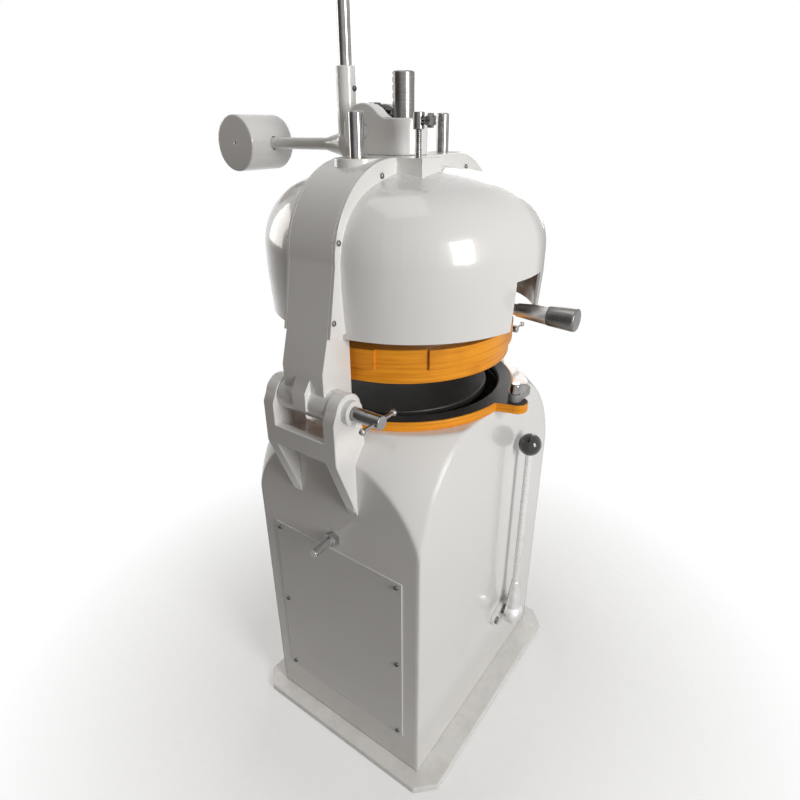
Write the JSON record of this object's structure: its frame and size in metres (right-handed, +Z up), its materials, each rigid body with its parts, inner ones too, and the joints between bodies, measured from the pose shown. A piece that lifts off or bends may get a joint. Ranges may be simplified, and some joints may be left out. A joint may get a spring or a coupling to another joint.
{
  "type": "divider rounder",
  "caption": "Free-standing bakery divider rounder: hinged lever press head with rack, knife head and cam ring over an orbiting moulding table on a closed body",
  "frame": {"origin": "on the floor, in the middle of the base plate's underside mount, under the press axis", "axes": "+Z up along the press axis, -Y is the front where the operator stands, +X is the operator's right; the head's hinge is on -X"},
  "size_m": [0.662, 0.82, 1.756],
  "materials": {
    "white": "glossy white enamel",
    "orange": "satin orange enamel",
    "chrome": "polished",
    "steel": "turned steel",
    "pale_steel": "satin steel",
    "dark_steel": "oiled steel",
    "black_plate": "matt black plastic",
    "black_plastic": "glossy black",
    "grey_catch": "grey, soft sheen",
    "cast": "machined cast iron",
    "motor_paint": "machine enamel",
    "belt": "matt rubber",
    "alloy": "machined",
    "bronze": "bearing bronze"
  },
  "bodies": {
    "stand": {"base_plate": "white", "body_casing": "white", "side_panel": "white", "panel_screws": "steel", "hinge_bracket": "white", "pin_bushes": "white", "rest_bracket": "white", "table_ring": "orange", "catch_bolt": "chrome", "bearing_column": "cast", "drive_bolts": "steel", "shaft_bearings": "steel", "motor_mount": "cast", "motor": "motor_paint", "drive_belt": "belt", "tension_nut": "chrome", "lever_flange": "white", "flange_bolts": "steel", "start_switch": "black_plastic", "power_gland": "black_plastic"},
    "tension_stud": {"tension_stud": "chrome"},
    "drive_shaft": {"eccentric_shaft": "steel", "driven_pulley": "cast"},
    "table": {"plate_carrier": "alloy", "moulding_plate": "black_plate"},
    "motor_rotor": {"motor_pulley": "cast"},
    "round_lever": {"lever_shaft": "steel", "rounding_lever": "chrome", "lever_ball": "black_plastic"},
    "head": {"yoke": "white", "front_dome": "white", "rear_dome": "white", "dome_screws": "steel", "guide_bushes": "bronze", "lever_bracket": "white", "pinion_axle": "steel"},
    "lever": {"pinion": "dark_steel", "press_lever": "white", "counterweight": "white", "hand_rod": "chrome", "hand_grip": "black_plastic", "lever_screw": "dark_steel"},
    "press": {"press_shaft": "steel", "crosshead": "alloy", "guide_posts": "chrome", "head_plate": "alloy", "knife_star": "steel", "stop_rod": "steel"},
    "pads": {"press_plate": "alloy"},
    "cam": {"cam_ring": "orange", "handle_bracket": "pale_steel", "handle_stem": "chrome", "handle_sleeve": "dark_steel"},
    "stop_sleeve": {"stop_sleeve": "steel"},
    "thumb_screw": {"thumb_screw": "black_plastic"},
    "hinge_pin": {"hinge_pin": "chrome"},
    "hinge_bar": {"hinge_bar": "chrome"},
    "clamp_screw": {"clamp_screw": "chrome"},
    "clamp_bar": {"clamp_bar": "chrome"},
    "plate_catch": {"plate_catch": "grey_catch"}
  },
  "joints": [
    {"name": "head_tilt", "type": "hinge", "parent": "stand", "child": "head", "pos_m": [-0.283, 0, 0.897], "axis": [0, -1, 0], "range_deg": [0, 85]},
    {"name": "lever_pull", "type": "hinge", "parent": "head", "child": "lever", "pos_m": [0, 0.06, 1.33], "axis": [1, 0, 0], "range_deg": [0, 55.5]},
    {"name": "press_slide", "type": "slide", "parent": "head", "child": "press", "axis": [0, 0, 1], "range_m": [-0.0427, 0]},
    {"name": "cam_turn", "type": "hinge", "parent": "press", "child": "cam", "pos_m": [0, 0, 0.95], "axis": [0, 0, 1], "range_deg": [-7.5, 7.5]},
    {"name": "pad_slide", "type": "slide", "parent": "press", "child": "pads", "axis": [0, 0, 1], "range_m": [-0.0079, 0.0079]},
    {"name": "sleeve_turn", "type": "hinge", "parent": "press", "child": "stop_sleeve", "pos_m": [-0.066, -0.078, 1.346], "axis": [0, 0, 1], "continuous": true},
    {"name": "thumb_turn", "type": "hinge", "parent": "stop_sleeve", "child": "thumb_screw", "pos_m": [-0.066, -0.1, 1.346], "axis": [0, -1, 0], "continuous": true},
    {"name": "drive_spin", "type": "hinge", "parent": "stand", "child": "drive_shaft", "pos_m": [0, 0, 0.6], "axis": [0, 0, 1], "continuous": true},
    {"name": "table_orbit", "type": "hinge", "parent": "drive_shaft", "child": "table", "pos_m": [0, 0.012, 0.76], "axis": [0, 0, 1], "continuous": true},
    {"name": "motor_spin", "type": "hinge", "parent": "stand", "child": "motor_rotor", "pos_m": [-0.165, 0, 0.6], "axis": [0, 0, 1], "continuous": true},
    {"name": "round_turn", "type": "hinge", "parent": "stand", "child": "round_lever", "pos_m": [0.112, -0.261, 0.2], "axis": [0, 1, 0], "range_deg": [-20, 20]},
    {"name": "pin_turn", "type": "hinge", "parent": "stand", "child": "hinge_pin", "pos_m": [-0.283, 0, 0.897], "axis": [0, 1, 0], "continuous": true},
    {"name": "pin_bar_slide", "type": "slide", "parent": "hinge_pin", "child": "hinge_bar", "axis": [1, 0, 0], "range_m": [-0.022, 0.022]},
    {"name": "clamp_turn", "type": "hinge", "parent": "stand", "child": "clamp_screw", "pos_m": [0.283, -0.095, 0.897], "axis": [0, 1, 0], "continuous": true},
    {"name": "clamp_bar_slide", "type": "slide", "parent": "clamp_screw", "child": "clamp_bar", "axis": [1, 0, 0], "range_m": [-0.022, 0.022]},
    {"name": "catch_swing", "type": "hinge", "parent": "stand", "child": "plate_catch", "pos_m": [0.012, -0.258, 0.858], "axis": [0, 0, 1], "range_deg": [0, 75]},
    {"name": "stud_turn", "type": "hinge", "parent": "stand", "child": "tension_stud", "pos_m": [-0.3, -0.018, 0.585], "axis": [1, 0, 0], "continuous": true}
  ],
  "couplings": [
    {"joint": "press_slide", "follows": "lever_pull", "m_per_rad": -0.044},
    {"joint": "pad_slide", "follows": "cam_turn", "m_per_rad": 0.06},
    {"joint": "table_orbit", "follows": "drive_spin", "ratio": -1},
    {"joint": "motor_spin", "follows": "drive_spin", "ratio": 2.713}
  ]
}
